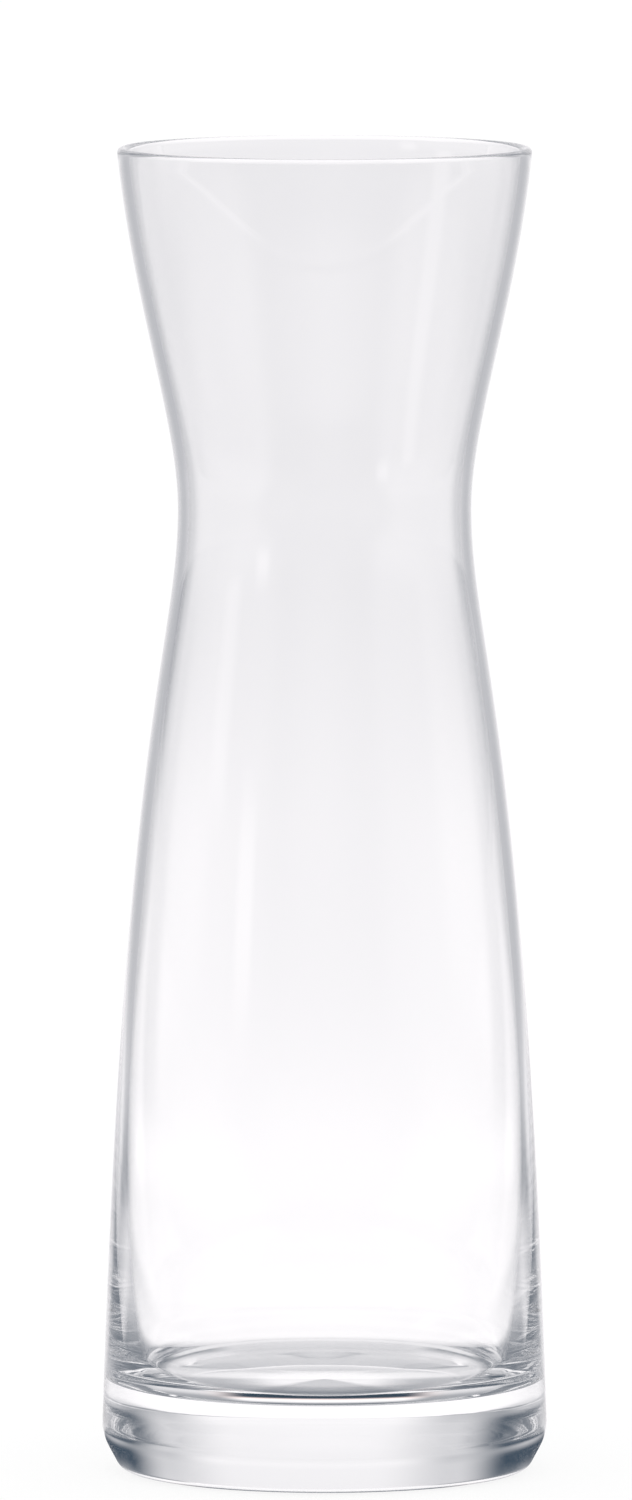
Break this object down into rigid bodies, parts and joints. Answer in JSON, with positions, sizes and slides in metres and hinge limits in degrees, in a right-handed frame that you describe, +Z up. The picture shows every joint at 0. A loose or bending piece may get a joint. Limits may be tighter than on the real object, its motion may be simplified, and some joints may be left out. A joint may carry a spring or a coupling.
{
  "type": "water carafe",
  "caption": "Clear glass water carafe with a heavy solid base, a body drawn in to a waist and a flared open mouth with a rounded rim.",
  "frame": {"origin": "centre of the face that it rests on, at the level of the table", "axes": "+Z up along the axis of revolution, from the base to the mouth"},
  "size_m": [0.0924, 0.0924, 0.275],
  "materials": {
    "clear_glass": "polished"
  },
  "bodies": {
    "root": {"carafe_glass": "clear_glass"}
  },
  "joints": []
}
